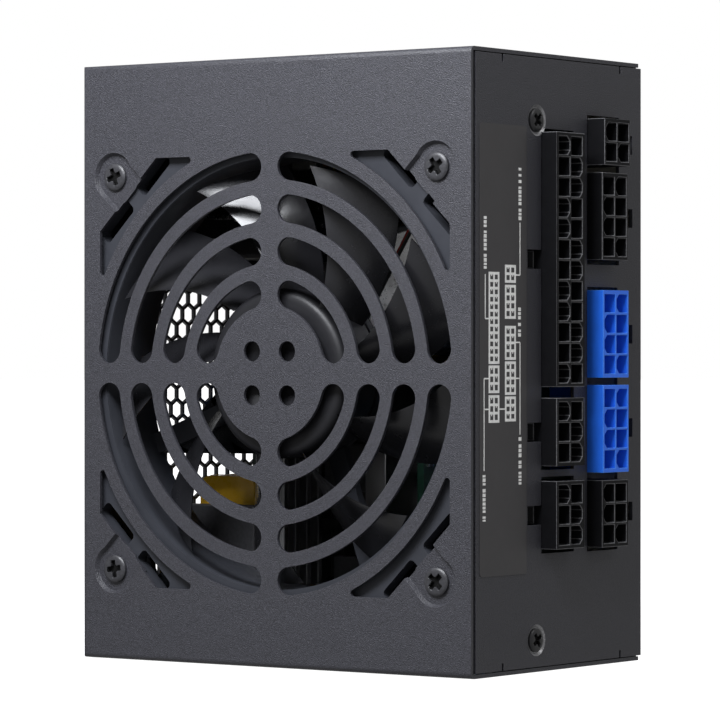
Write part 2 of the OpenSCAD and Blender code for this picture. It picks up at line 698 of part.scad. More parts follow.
module bulk_capacitor() {
    color([0.12, 0.12, 0.13]) on_board([20, 77.5]) difference() {
        rotate_extrude() polygon([[0, 0.5], [13, 0.5], [13.6, 1.2], [13.6, 3], [13, 3.6], [13.6, 4.2],
            [13.6, tall_part - 0.8], [12.9, tall_part], [0, tall_part]]);
        for (a = [0, 60, 120]) rotate([0, 0, a]) translate([-9, -0.2, tall_part - 0.3]) cube([18, 0.4, 1]);
    }
}
module transformer_core() { color(ferrite) on_board(transformer_at) e_core(transformer_e); }
module transformer_winding() { color(yellow) on_board(transformer_at) e_winding(transformer_e, 26); }
module standby_core() { color(ferrite) on_board(standby_at) e_core(standby_e); }
module standby_winding() { color(yellow) on_board(standby_at) e_winding(standby_e, 15); }
module resonant_core() { color(ferrite) on_board(resonant_at) e_core(resonant_e); }
module resonant_winding() { color(yellow) on_board(resonant_at) e_winding(resonant_e, 18); }
module secondary_heatsink() { color(alu) on_board([9, 36]) heatsink(50, 29, 3, -3); }
module output_transistors() { color(black) for (z = [18, 31, 44, 56]) on_board([10.2, z]) to220(1); }
module output_capacitors() {
    color([0.3, 0.3, 0.34]) for (i = [0 : 5]) for (x = [25.2, 33.2]) on_board([x, 14.5 + i * 8.6]) {
        difference() {
            rod(3.8, 0.3, 15);
            for (a = [0, 90]) rotate([0, 0, a]) translate([-2.4, -0.15, 14.8]) cube([4.8, 0.3, 1]);
        }
    }
}
module control_board() {
    color(green) span([-20.6, -6, 84], [-19, board_y, 103]);
    color(black) for (z = [88, 95]) span([-19, 0, z - 2.5], [-17.6, 8, z + 2.5]);
}
module converter_board() {
    color(green) span([18.2, -5, 12], [19.8, board_y, 62]);
    color([0.4, 0.4, 0.42]) for (z = [22, 36, 50]) span([16, 4, z - 4], [18.2, 12, z + 4]);
}
module relay() {
    color([0.12, 0.3, 0.55]) on_board([-37, 52.2]) linear_extrude(15.5) round_rect(16, 10, 0.5);
}
module fuse() {
    color("ivory") translate([-24, board_y - 3.4, 50]) {
        rod(2.6, 0, 12);
        for (z = [0, 12]) rod(3, z - 2, z + 3);
    }
}

// ---- socket side ----

module socket_board() {
    color(green) span([socket_board_x, -12, 20], [socket_back_x, board_y + 0.4, 117]);
}
module board_link_bars() {
    color(copper) for (z = [26, 38, 50, 62, 76])
        span([37, board_y - 3.5, z - 2.5], [socket_board_x, board_y, z + 2.5]);
}
// 1 where a cell of the row has two cut corners: pairs alternate down each column
function keyed(i, column) = (floor((i + 1) / 2) + column) % 2 == 0;
module socket_cell(flip) {
    w = cell_w / 2;
    h = cell_h / 2;
    cut = 1;
    mirror([flip, 0]) polygon([[-w, -h], [w - cut, -h], [w, cut - h], [w, h - cut], [w - cut, h], [-w, h]]);
}
// a two-column socket seen from the front; side is where its latch ramp stands
module socket(rows, side, width, out) {
    depth = x1 + out - socket_back_x;
    length = rows * cell_pitch + 1.2;
    translate([0, 0, out - depth]) difference() {
        union() {
            linear_extrude(depth) square([width, length], center = true);
            translate([side * width / 2, 1.7, 0]) rotate([90, 0, 0]) linear_extrude(3.4)
                polygon([[-side, 1], [0, 1], [side * 0.9, 5], [side * 0.9, 6.4], [0, 7.4], [-side, 7.4]]);
        }
        for (i = [0 : rows - 1]) for (c = [0, 1]) {
            row = (side < 0) ? i : rows - 1 - i;
            translate([(c - 0.5) * column_pitch, ((rows - 1) / 2 - i) * cell_pitch, floor_t])
                linear_extrude(depth) if (keyed(row, side < 0 ? c : 1 - c)) socket_cell(side < 0 ? 0 : 1);
                    else square([cell_w, cell_h], center = true);
        }
    }
}
module socket_24pin() { color(black) on_panel(left_y, left_24_z) socket(12, -1, left_w, left_out); }
module sockets_6pin() {
    color(black) {
        for (z = left_6_z) on_panel(left_y, z) socket(3, -1, left_w, left_out);
        on_panel(right_y, right_6_z) socket(3, 1, right_w, right_out);
    }
}
module socket_4pin() { color(black) on_panel(right_y, right_4_z) socket(2, 1, right_w, small_out); }
module socket_8pin_black() { color(black) on_panel(right_y, right_8_z) socket(4, 1, right_w, right_out); }
module sockets_8pin_blue() {
    color(blue) for (z = right_blue_z) on_panel(right_y, z) socket(4, 1, right_w, blue_out);
}
module contact_rows(rows) {
    for (i = [0 : rows - 1]) for (c = [-1, 1])
        translate([c * column_pitch / 2, (i - (rows - 1) / 2) * cell_pitch, socket_back_x + floor_t - x1])
            cylinder(r = 0.55, h = 8.4, $fn = 16);
}
module socket_contacts() {
    color("gold") {
        on_panel(left_y, left_24_z) contact_rows(12);
        for (z = left_6_z) on_panel(left_y, z) contact_rows(3);
        on_panel(right_y, right_6_z) contact_rows(3);
        on_panel(right_y, right_4_z) contact_rows(2);
        on_panel(right_y, right_8_z) contact_rows(4);
        for (z = right_blue_z) on_panel(right_y, z) contact_rows(4);
    }
}

base_shell();
fan_cover();
socket_map_label();
cover_screws();
insulation_sheet();
board_standoffs();
board_screws();
fan_frame();
fan_screws();
fan_bearing();
fan_stator();
fan_coils();
fan_driver_board();
fan_rotor();
rotor_yoke();
rotor_magnet();
rotor_shaft();
fan_lead();
fan_plug();
ac_inlet();
inlet_contacts();
switch_housing();
switch_rocker();
switch_terminals();
mains_leads();
earth_lead();
earth_screw();
main_board();
line_filter_core();
line_filter_winding();
x_capacitors();
y_capacitors();
bridge_rectifier();
primary_heatsink();
power_transistors();
pfc_choke_core();
pfc_choke_winding();
bulk_capacitor();
transformer_core();
transformer_winding();
standby_core();
standby_winding();
resonant_core();
resonant_winding();
secondary_heatsink();
output_transistors();
output_capacitors();
control_board();
converter_board();
relay();
fuse();
socket_board();
board_link_bars();
socket_24pin();
sockets_6pin();
socket_4pin();
socket_8pin_black();
sockets_8pin_blue();
socket_contacts();
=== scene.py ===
"""Looks of a compact modular computer power supply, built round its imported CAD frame."""

import math
import random

import bmesh
import bpy
from mathutils import Matrix, Vector


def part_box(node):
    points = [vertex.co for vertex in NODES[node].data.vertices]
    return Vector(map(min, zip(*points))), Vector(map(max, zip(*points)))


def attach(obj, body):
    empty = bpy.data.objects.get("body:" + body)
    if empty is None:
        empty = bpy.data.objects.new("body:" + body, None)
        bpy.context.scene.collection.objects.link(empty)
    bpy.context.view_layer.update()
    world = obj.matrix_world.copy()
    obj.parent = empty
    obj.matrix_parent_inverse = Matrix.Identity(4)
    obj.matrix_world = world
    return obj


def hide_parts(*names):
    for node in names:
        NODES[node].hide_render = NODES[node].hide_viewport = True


MM = 0.001
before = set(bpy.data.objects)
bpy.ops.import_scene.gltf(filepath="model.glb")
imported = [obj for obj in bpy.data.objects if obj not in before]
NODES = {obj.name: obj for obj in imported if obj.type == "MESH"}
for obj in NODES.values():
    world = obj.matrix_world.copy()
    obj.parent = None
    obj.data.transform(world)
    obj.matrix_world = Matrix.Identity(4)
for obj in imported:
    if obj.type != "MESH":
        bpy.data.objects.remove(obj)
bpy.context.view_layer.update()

# the ways that things on the unit face
TO_FAN = (0, -1, 0)
TO_SOCKETS = (1, 0, 0)
TO_MAINS = (-1, 0, 0)


def box_mm(node):
    """Lowest and highest corner of a CAD node, in mm."""
    low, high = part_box(node)
    return Vector(low) / MM, Vector(high) / MM


# the main board's face, which most parts inside stand on
BOARD_Y = box_mm("main_board")[0].y


# ---------------------------------------------------------------- camera, light and floor

def add_camera():
    """Long lens from the socket side, level with the unit."""
    data = bpy.data.cameras.new("camera")
    data.lens = 199.5
    data.sensor_width = 36
    data.shift_y = -0.0085
    data.clip_start = 0.01
    camera = bpy.data.objects.new("camera", data)
    camera.location = (0.4946, -0.6807, 0.0642)
    camera.rotation_euler = (math.radians(90), 0, math.radians(36.01))
    bpy.context.collection.objects.link(camera)
    bpy.context.scene.camera = camera


def area_light(name, spot, target, size, power, color=(1, 1, 1)):
    data = bpy.data.lights.new(name, "AREA")
    data.shape = "RECTANGLE"
    data.size, data.size_y = size
    data.energy = power
    data.color = color
    lamp = bpy.data.objects.new(name, data)
    lamp.location = spot
    lamp.rotation_euler = (Vector(target) - Vector(spot)).to_track_quat("-Z", "Y").to_euler()
    bpy.context.collection.objects.link(lamp)


def add_studio():
    """White to the camera, a dimmer grey to the object, with a key light close above the fan face."""
    world = bpy.data.worlds.new("studio")
    bpy.context.scene.world = world
    world.use_nodes = True
    tree = world.node_tree
    tree.nodes["Background"].inputs["Color"].default_value = (1, 1, 1, 1)
    seen = tree.nodes.new("ShaderNodeLightPath")
    level = tree.nodes.new("ShaderNodeMapRange")
    level.inputs["To Min"].default_value = 0.35
    level.inputs["To Max"].default_value = 1.0
    tree.links.new(seen.outputs["Is Camera Ray"], level.inputs["Value"])
    tree.links.new(level.outputs["Result"], tree.nodes["Background"].inputs["Strength"])
    bpy.context.scene.view_settings.view_transform = "Standard"
    area_light("key", (0.03, -0.26, 0.31), (0, -0.03, 0.085), (0.26, 0.12), 2.6, (0.93, 0.95, 1.0))
    area_light("side", (0.42, 0.10, 0.42), (0.05, 0.01, 0.07), (0.18, 0.18), 0.35)


def add_floor():
    """A round of white paper that glows, and that the object neither reflects nor is lit by."""
    mesh = bpy.data.meshes.new("floor")
    build = bmesh.new()
    bmesh.ops.create_circle(build, cap_ends=True, segments=64, radius=9)
    build.to_mesh(mesh)
    build.free()
    floor = bpy.data.objects.new("floor", mesh)
    floor.location.z = -0.0002
    bpy.context.collection.objects.link(floor)
    paper = surface("floor_paper", (0.93, 0.93, 0.93), 0.9, spots=(40, 0.01))
    glow = paper.node_tree.nodes["Principled BSDF"].inputs
    glow["Emission Color"].default_value = (1, 1, 1, 1)
    glow["Emission Strength"].default_value = 1.0
    mesh.materials.append(paper)
    floor.visible_diffuse = False
    floor.visible_glossy = False


# ---------------------------------------------------------------- materials

def link(tree, a, b):
    tree.links.new(a, b)


def noise(tree, scale, detail=3, rough=0.55, source=None):
    node = tree.nodes.new("ShaderNodeTexNoise")
    node.inputs["Scale"].default_value = scale
    node.inputs["Detail"].default_value = detail
    node.inputs["Roughness"].default_value = rough
    link(tree, source, node.inputs["Vector"])
    return node.outputs["Fac"]


def remap(tree, value, low, high):
    """Stretches the middle of a noise, where most of its values lie, over low to high."""
    node = tree.nodes.new("ShaderNodeMapRange")
    node.inputs["From Min"].default_value = 0.3
    node.inputs["From Max"].default_value = 0.7
    node.inputs["To Min"].default_value = low
    node.inputs["To Max"].default_value = high
    link(tree, value, node.inputs["Value"])
    return node.outputs["Result"]


def mix(tree, factor, a, b):
    node = tree.nodes.new("ShaderNodeMix")
    node.data_type = "RGBA"
    link(tree, factor, node.inputs["Factor"])
    # a colour mix keeps its two colours at inputs 6 and 7, and its result at output 2
    for socket, value in ((node.inputs[6], a), (node.inputs[7], b)):
        if isinstance(value, tuple):
            socket.default_value = (*value[:3], 1)
        else:
            link(tree, value, socket)
    return node.outputs[2]


def shade(color, factor):
    return tuple(min(1, c * factor) for c in color)


# how much finer the uneven roughness is than the colour blotches
HAZE_SCALE = 2.7


def surface(name, color, rough, metal=0.0, spots=(300, 0.12), grain=(), vary=0.06, coat=0.0,
            spec=0.5, stretch=(1, 1, 1)):
    """Procedural material: colour blotches, uneven roughness and up to three scales of bump.

    spots is the scale (1/m) and amount of the colour variation; grain lists (scale, height in mm);
    vary is how far the roughness strays, and stretch draws the pattern out along an axis.
    """
    mat = bpy.data.materials.new(name)
    mat.use_nodes = True
    tree = mat.node_tree
    bsdf = tree.nodes["Principled BSDF"]
    coords = tree.nodes.new("ShaderNodeTexCoord").outputs["Object"]
    if stretch != (1, 1, 1):
        mapping = tree.nodes.new("ShaderNodeMapping")
        mapping.inputs["Scale"].default_value = stretch
        link(tree, coords, mapping.inputs["Vector"])
        coords = mapping.outputs["Vector"]
    spot_scale, amount = spots
    dark, pale = shade(color, 1 - amount), shade(color, 1 + amount)
    blotch = noise(tree, spot_scale, 4, 0.6, coords)
    link(tree, mix(tree, remap(tree, blotch, 0, 1), dark, pale), bsdf.inputs["Base Color"])
    haze = noise(tree, spot_scale * HAZE_SCALE, 3, 0.6, coords)
    smoothest, roughest = max(0.02, rough - vary), min(1, rough + vary)
    link(tree, remap(tree, haze, smoothest, roughest), bsdf.inputs["Roughness"])
    bsdf.inputs["Metallic"].default_value = metal
    bsdf.inputs["Specular IOR Level"].default_value = spec
    bsdf.inputs["Coat Weight"].default_value = coat
    bsdf.inputs["Coat Roughness"].default_value = 0.12
    normal = None
    for scale, height in grain:
        bump = tree.nodes.new("ShaderNodeBump")
        bump.inputs["Strength"].default_value = 1
        bump.inputs["Distance"].default_value = height * MM
        link(tree, noise(tree, scale, 2, 0.5, coords), bump.inputs["Height"])
        if normal is not None:
            link(tree, normal, bump.inputs["Normal"])
        normal = bump.outputs["Normal"]
    if normal is not None:
        link(tree, normal, bsdf.inputs["Normal"])
    return mat


def striped(name, first, second):
    """Wire cover in two colours, in bands along the height of the lead."""
    mat = surface(name, first, 0.4, spots=(300, 0.1), grain=((900, 0.01),))
    tree = mat.node_tree
    bsdf = tree.nodes["Principled BSDF"]
    base = bsdf.inputs["Base Color"].links[0].from_socket
    wave = tree.nodes.new("ShaderNodeTexWave")
    wave.inputs["Scale"].default_value = 60
    wave.inputs["Distortion"].default_value = 0
    link(tree, tree.nodes.new("ShaderNodeTexCoord").outputs["Object"], wave.inputs["Vector"])
    link(tree, mix(tree, remap(tree, wave.outputs["Fac"], 0, 1), base, second), bsdf.inputs["Base Color"])
    return mat


def make_materials():
    """Every finish by a short name; the first value of surface names the material itself."""
    return {
        "powder": surface("powder_coat", (0.033, 0.033, 0.040), 0.44, spots=(4200, 0.62),
                          grain=((4600, 0.11), (2300, 0.055), (420, 0.02)), vary=0.08),
        "label": surface("label_film", (0.04, 0.038, 0.04), 0.36,
                         spots=(200, 0.05), grain=((900, 0.006),), vary=0.03),
        "ink": surface("label_ink", (0.80, 0.80, 0.78), 0.5, spots=(1500, 0.12), vary=0.04),
        "screw": surface("blackened_screw", (0.012, 0.012, 0.013), 0.34, 0.0,
                         spots=(1200, 0.25), grain=((2500, 0.01),)),
        "fan_screw": surface("black_screw", (0.032, 0.032, 0.036), 0.4, 0.0,
                             spots=(1600, 0.3), grain=((3000, 0.02),)),
        # near black, darker than any screw head: painted shade in the cross recess
        "recess": surface("screw_recess_painted_shade", (0.004, 0.004, 0.004), 0.6, spots=(1500, 0.3), spec=0.15),
        "steel": surface("bright_steel", (0.62, 0.62, 0.63), 0.27, 1.0,
                         spots=(900, 0.12), grain=((2200, 0.006),)),
        "brass": surface("brass", (0.78, 0.58, 0.26), 0.3, 1.0, spots=(800, 0.12), grain=((1800, 0.006),)),
        "fan": surface("fan_plastic", (0.032, 0.034, 0.041), 0.48,
                       spots=(150, 0.1), grain=((1400, 0.006),), vary=0.05, spec=0.25),
        "blade": surface("blade_plastic", (0.014, 0.014, 0.016), 0.24,
                         spots=(120, 0.1), grain=((700, 0.01),), vary=0.04),
        "hub": surface("hub_plastic", (0.012, 0.012, 0.014), 0.46,
                       spots=(120, 0.1), grain=((900, 0.01),), spec=0.3),
        "pin": surface("inlet_pin", (0.5, 0.5, 0.48), 0.42, 0.55, spots=(900, 0.1)),
        "nylon": surface("black_nylon", (0.005, 0.005, 0.006), 0.52,
                         spots=(500, 0.12), grain=((2400, 0.01),), vary=0.07, spec=0.14),
        "blue": surface("blue_nylon", (0.022, 0.165, 0.88), 0.36,
                        spots=(260, 0.06), grain=((1800, 0.008),), vary=0.05),
        # the three edge colours below are lighter than their surfaces: painted highlights on bevelled edges
        "nylon_painted_highlight": surface("nylon_painted_highlight", (0.10, 0.10, 0.105), 0.34,
                              spots=(2200, 0.45), grain=((2600, 0.02),)),
        "blue_painted_highlight": surface("blue_nylon_painted_highlight", (0.06, 0.26, 0.95), 0.3,
                             spots=(900, 0.2), grain=((2600, 0.01),)),
        "coat_painted_highlight": surface("coat_painted_highlight", (0.075, 0.075, 0.083), 0.34,
                             spots=(2600, 0.3), grain=((3600, 0.03),)),
        # lighter and more metallic than the powder coat: a painted highlight on the dimple slopes
        "dimple": surface("screw_dimple_highlight", (0.30, 0.30, 0.31), 0.34, 0.55,
                          spots=(2600, 0.3), grain=((2600, 0.02),)),
        "inlet": surface("inlet_plastic", (0.022, 0.022, 0.024), 0.38,
                         spots=(400, 0.1), grain=((2000, 0.012),)),
        "contact": surface("tinned_contact", (0.72, 0.66, 0.5), 0.25, 1.0,
                           spots=(900, 0.1), grain=((1500, 0.005),)),
        "board": surface("solder_mask", (0.008, 0.030, 0.019), 0.35,
                         spots=(700, 0.35), grain=((900, 0.02),)),
        "film": surface("insulating_film", (0.72, 0.68, 0.6), 0.45, spots=(60, 0.05), grain=((120, 0.03),)),
        "copper": surface("enamelled_copper", (0.66, 0.28, 0.1), 0.25, 0.85, spots=(900, 0.15), coat=0.5),
        "ferrite": surface("ferrite", (0.055, 0.055, 0.06), 0.55, spots=(1200, 0.2), grain=((1800, 0.02),)),
        "tape": surface("polyester_tape", (0.86, 0.50, 0.03), 0.28,
                        spots=(120, 0.1), grain=((350, 0.02),), coat=0.4),
        "dark_tape": surface("black_tape", (0.02, 0.017, 0.015), 0.3,
                             spots=(120, 0.15), grain=((350, 0.02),), coat=0.3),
        "amber": surface("film_capacitor", (0.62, 0.38, 0.06), 0.35,
                         spots=(200, 0.08), grain=((700, 0.01),)),
        "disc": surface("disc_capacitor", (0.06, 0.22, 0.55), 0.3, spots=(300, 0.1), grain=((500, 0.03),)),
        "epoxy": surface("moulded_epoxy", (0.03, 0.03, 0.03), 0.5,
                         spots=(900, 0.15), grain=((2500, 0.02),)),
        "alu": surface("extruded_aluminium", (0.62, 0.62, 0.63), 0.34, 1.0, spots=(300, 0.1),
                       grain=((900, 0.01),), stretch=(1, 1, 0.12)),
        "can": surface("drawn_aluminium", (0.7, 0.7, 0.71), 0.3, 1.0,
                       spots=(500, 0.08), grain=((1200, 0.008),)),
        "sleeve": surface("capacitor_sleeve", (0.028, 0.03, 0.036), 0.24,
                          spots=(150, 0.1), grain=((300, 0.015),)),
        "relay": surface("relay_case", (0.03, 0.13, 0.42), 0.3, spots=(200, 0.08), grain=((1500, 0.01),)),
        "ceramic": surface("ceramic", (0.75, 0.72, 0.66), 0.35, spots=(300, 0.06), grain=((900, 0.01),)),
        "white": surface("white_nylon", (0.72, 0.70, 0.62), 0.4, spots=(300, 0.05), grain=((900, 0.01),)),
        "laminate": surface("laminated_steel", (0.35, 0.34, 0.33), 0.4, 0.9,
                            spots=(3000, 0.2), stretch=(1, 12, 1)),
        "magnet": surface("bonded_magnet", (0.07, 0.065, 0.06), 0.6,
                          spots=(2200, 0.25), grain=((2500, 0.02),)),
        "wire_black": surface("black_wire", (0.02, 0.02, 0.02), 0.42,
                              spots=(300, 0.1), grain=((900, 0.01),)),
        "wire_red": surface("red_wire", (0.42, 0.02, 0.015), 0.4, spots=(300, 0.1), grain=((900, 0.01),)),
        "wire_brown": surface("brown_wire", (0.16, 0.06, 0.025), 0.4,
                              spots=(300, 0.1), grain=((900, 0.01),)),
        "wire_blue": surface("blue_wire", (0.02, 0.09, 0.42), 0.4, spots=(300, 0.1), grain=((900, 0.01),)),
        "wire_earth": striped("earth_wire", (0.05, 0.32, 0.06), (0.72, 0.62, 0.04)),
        "wire_green": surface("green_wire", (0.05, 0.32, 0.06), 0.4,
                              spots=(300, 0.1), grain=((900, 0.01),)),
        "grey_label": surface("grey_label", (0.42, 0.42, 0.43), 0.5,
                              spots=(400, 0.06), grain=((700, 0.006),)),
    }


# the finish of each CAD node
NODE_MATERIALS = {
    "base_shell": "powder", "fan_cover": "powder", "socket_map_label": "label", "cover_screws": "screw",
    "insulation_sheet": "film", "board_standoffs": "brass", "board_screws": "steel", "fan_frame": "fan",
    "fan_screws": "screw", "fan_bearing": "brass", "fan_stator": "laminate", "fan_coils": "copper",
    "fan_driver_board": "board", "fan_rotor": "blade", "rotor_yoke": "steel", "rotor_magnet": "magnet",
    "rotor_shaft": "steel", "fan_lead": "wire_black", "fan_plug": "white", "ac_inlet": "inlet",
    "inlet_contacts": "pin", "switch_housing": "inlet", "switch_rocker": "inlet", "switch_terminals": "steel",
    "mains_leads": "wire_brown", "earth_lead": "wire_green", "earth_screw": "steel", "main_board": "board",
    "line_filter_core": "ferrite", "line_filter_winding": "copper", "x_capacitors": "amber",
    "y_capacitors": "disc", "bridge_rectifier": "epoxy", "primary_heatsink": "alu",
    "power_transistors": "epoxy", "pfc_choke_core": "ferrite", "pfc_choke_winding": "copper",
    "bulk_capacitor": "sleeve",
    "transformer_core": "ferrite", "transformer_winding": "tape", "standby_core": "ferrite",
    "standby_winding": "dark_tape", "resonant_core": "ferrite", "resonant_winding": "dark_tape",
    "secondary_heatsink": "alu", "output_transistors": "epoxy", "output_capacitors": "can",
    "control_board": "board", "converter_board": "board", "relay": "relay", "fuse": "ceramic",
    "socket_board": "board", "board_link_bars": "copper", "socket_24pin": "nylon", "sockets_6pin": "nylon",
    "socket_4pin": "nylon", "socket_8pin_black": "nylon", "sockets_8pin_blue": "blue",
    "socket_contacts": "contact",
}

# how far the sharp edges of a CAD node are rounded, in mm
BEVELS = {
    "base_shell": 0.14, "fan_cover": 0.2, "socket_24pin": 0.14, "sockets_6pin": 0.14, "socket_4pin": 0.14,
    "socket_8pin_black": 0.14, "sockets_8pin_blue": 0.14, "ac_inlet": 0.12, "switch_housing": 0.35,
    "fan_frame": 0.3, "switch_rocker": 0.3, "inlet_contacts": 0.12, "x_capacitors": 0.4, "relay": 0.4,
    "transformer_core": 0.3, "standby_core": 0.3, "resonant_core": 0.3, "primary_heatsink": 0.2,
    "secondary_heatsink": 0.2, "bridge_rectifier": 0.3, "power_transistors": 0.2, "output_transistors": 0.2,
    "fan_stator": 0.1, "fan_coils": 0.4, "fan_plug": 0.2, "socket_contacts": 0.12,
}

# lighter colour of the bevelled edges: a painted highlight where the edges catch the light
EDGE_HIGHLIGHTS = {
    "base_shell": "coat_painted_highlight", "fan_cover": "coat_painted_highlight", "socket_24pin": "nylon_painted_highlight",
    "sockets_6pin": "nylon_painted_highlight", "socket_4pin": "nylon_painted_highlight", "socket_8pin_black": "nylon_painted_highlight",
    "sockets_8pin_blue": "blue_painted_highlight",
}


def round_edges(node, width):
    """Rounds a CAD node's sharp edges by modifiers, which leave its own mesh as it is."""
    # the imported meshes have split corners, which a bevel can't round until they are welded
    weld = node.modifiers.new("corners", "WELD")
    weld.merge_threshold = 0.005 * MM
    # long thin triangles across a flat face make the bevel crease it, so they are joined first
    flat = node.modifiers.new("flats", "DECIMATE")
    flat.decimate_type = "DISSOLVE"
    flat.angle_limit = math.radians(1)
    bevel = node.modifiers.new("edges", "BEVEL")
    bevel.width = width * MM
    bevel.segments = 2
    bevel.limit_method = "ANGLE"
    bevel.angle_limit = math.radians(40)
    bevel.use_clamp_overlap = True
    return bevel


def dress_nodes(mats):
    """Gives every CAD node its finish, and those in BEVELS round edges; some of these edges get a lighter
    colour, a painted highlight.
    """
    for name, node in NODES.items():
        node.data.materials.clear()
        node.data.materials.append(mats[NODE_MATERIALS[name]])
        if name in BEVELS:
            bevel = round_edges(node, BEVELS[name])
            # painted highlight: the bevel's faces take the lighter edge colour
            if name in EDGE_HIGHLIGHTS:
                node.data.materials.append(mats[EDGE_HIGHLIGHTS[name]])
                bevel.material = 1


# ---------------------------------------------------------------- mesh helpers

def add_mesh(name, parts, mats, body="casing", stands_for=()):
    """One piece from parts, a list of (points in mm, faces, material index); it rides on a body."""
    mesh = bpy.data.meshes.new(name)
    points, faces, index = [], [], []
    for part_points, part_faces, material in parts:
        start = len(points)
        points += [Vector(p) * MM for p in part_points]
        faces += [tuple(start + i for i in face) for face in part_faces]
        index += [material] * len(part_faces)
    mesh.from_pydata(points, [], faces)
    for material in mats:
        mesh.materials.append(MATS[material])
    for polygon, material in zip(mesh.polygons, index):
        polygon.material_index = material
    mesh.shade_smooth()
    mesh.set_sharp_from_angle(angle=math.radians(38))
    piece = bpy.data.objects.new(name, mesh)
    bpy.context.collection.objects.link(piece)
    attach(piece, body)
    if stands_for:
        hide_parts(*stands_for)
    return piece


def place(part, matrix):
    """Moves a part made in its own axes to where it belongs."""
    points, faces, material = part
    return [matrix @ Vector(p) for p in points], faces, material


def facing(origin, direction, turn=0.0):
    """Matrix that stands local z along a direction at an origin in mm."""
    matrix = Vector(direction).to_track_quat("Z", "Y").to_matrix().to_4x4()
    return Matrix.Translation(origin) @ matrix @ Matrix.Rotation(turn, 4, "Z")


def lathe(profile, material=0, steps=40):
    """Turns a profile of (radius, height) about z; a radius of 0 closes it in a point."""
    points, rings, faces = [], [], []
    for r, z in profile:
        ring = range(len(points), len(points) + (1 if r == 0 else steps))
        points += [(r * math.cos(a), r * math.sin(a), z)
                   for a in (2 * math.pi * k / steps for k in range(len(ring)))]
        rings.append(ring)
    for a, b in zip(rings, rings[1:]):
        for k in range(steps):
            corner = [a[k % len(a)], a[(k + 1) % len(a)], b[(k + 1) % len(b)], b[k % len(b)]]
            face = list(dict.fromkeys(corner))
            if len(face) > 2:
                faces.append(tuple(face))
    return points, faces, material


def block(low, high, edge=0.0, material=0):
    """A block between two corners, its top corners cut back by edge."""
    (x0, y0, z0), (x1, y1, z1) = low, high
    e = edge
    points = [(x0, y0, z0), (x1, y0, z0), (x1, y1, z0), (x0, y1, z0),
              (x0, y0, z1 - e), (x1, y0, z1 - e), (x1, y1, z1 - e), (x0, y1, z1 - e),
              (x0 + e, y0 + e, z1), (x1 - e, y0 + e, z1), (x1 - e, y1 - e, z1), (x0 + e, y1 - e, z1)]
    sides = [(a, (a + 1) % 4, (a + 1) % 4 + 4, a + 4) for a in range(4)]
    if e == 0:
        return points[:8], sides + [(3, 2, 1, 0), (4, 5, 6, 7)], material
    slopes = [(a + 4, (a + 1) % 4 + 4, (a + 1) % 4 + 8, a + 8) for a in range(4)]
    return points, sides + slopes + [(3, 2, 1, 0), (8, 9, 10, 11)], material


def islands(node):
    """Boxes in mm of the separate solids in a CAD node, lowest corner first."""
    mesh = NODES[node].data
    root = list(range(len(mesh.vertices)))

    def find(i):
        while root[i] != i:
            root[i] = root[root[i]]
            i = root[i]
        return i

    places = {}
    for i, vertex in enumerate(mesh.vertices):
        key = tuple(round(c, 6) for c in vertex.co)
        root[find(i)] = find(places.setdefault(key, i))
    for edge in mesh.edges:
        root[find(edge.vertices[0])] = find(edge.vertices[1])
    boxes = {}
    for i, vertex in enumerate(mesh.vertices):
        co = vertex.co / MM
        low, high = boxes.setdefault(find(i), (co.copy(), co.copy()))
        for axis in range(3):
            low[axis] = min(low[axis], co[axis])
            high[axis] = max(high[axis], co[axis])
    return sorted(boxes.values(), key=lambda box: tuple(round(c, 2) for c in box[0]))


def smooth_route(points, steps=8):
    """The same curve through given points as the design's leads follow, in mm."""
    p = [Vector(q) for q in points]
    last = len(p) - 1
    route = []
    for i in range(last):
        a, b, c, d = p[max(i - 1, 0)], p[i], p[i + 1], p[min(i + 2, last)]
        for t in (j / steps for j in range(steps)):
            route.append(0.5 * (2 * b + (c - a) * t + (2 * a - 5 * b + 4 * c - d) * t * t
                                + (3 * b - a - 3 * c + d) * t * t * t))
    return route + [p[last]]


def add_wires(name, routes, radius, mats, body="casing", stands_for=(), closed=False):
    """Round wires along routes in mm; mats gives one material for each route."""
    curve = bpy.data.curves.new(name, "CURVE")
    curve.dimensions = "3D"
    curve.bevel_depth = radius * MM
    curve.bevel_resolution = 3
    curve.use_fill_caps = True
    used = list(dict.fromkeys(mats))
    for material in used:
        curve.materials.append(MATS[material])
    for route, material in zip(routes, mats):
        spline = curve.splines.new("POLY")
        spline.points.add(len(route) - 1)
        for point, co in zip(spline.points, route):
            point.co = (*(Vector(co) * MM), 1)
        spline.use_cyclic_u = closed
        spline.use_smooth = True
        spline.material_index = used.index(material)
    piece = bpy.data.objects.new(name, curve)
    bpy.context.collection.objects.link(piece)
    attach(piece, body)
    if stands_for:
        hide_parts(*stands_for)


# ---------------------------------------------------------------- fasteners

def ease(a, b, t):
    """Smooth step from 0 at a to 1 at b."""
    t = min(1, max(0, (t - a) / (b - a)))
    return t * t * (3 - 2 * t)


